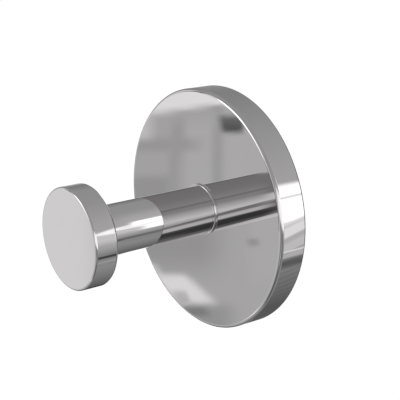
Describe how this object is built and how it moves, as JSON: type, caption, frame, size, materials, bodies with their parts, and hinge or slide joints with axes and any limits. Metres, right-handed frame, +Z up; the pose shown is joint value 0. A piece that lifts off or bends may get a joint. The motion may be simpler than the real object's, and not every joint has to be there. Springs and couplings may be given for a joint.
{
  "type": "towel hook",
  "caption": "Round wall-mounted towel hook: a post with an end disc on a round rose, held by a grub screw on a hidden wall bracket.",
  "frame": {"origin": "the middle of the rose's back on the wall plane, midway between the two wall screw slots", "axes": "+Y into the wall, -Y along the post away from the wall, +Z up, +X to the right as seen from the room"},
  "size_m": [0.055, 0.0416, 0.055],
  "materials": {
    "polished_chrome": "polished",
    "stainless_steel": "satin",
    "cast_zinc": "matte"
  },
  "bodies": {
    "root": {"end_cap": "polished_chrome", "post": "polished_chrome", "rose": "polished_chrome", "post_screw": "stainless_steel", "spring_washer": "stainless_steel", "wall_bracket": "cast_zinc", "grub_screw": "stainless_steel"}
  },
  "joints": []
}
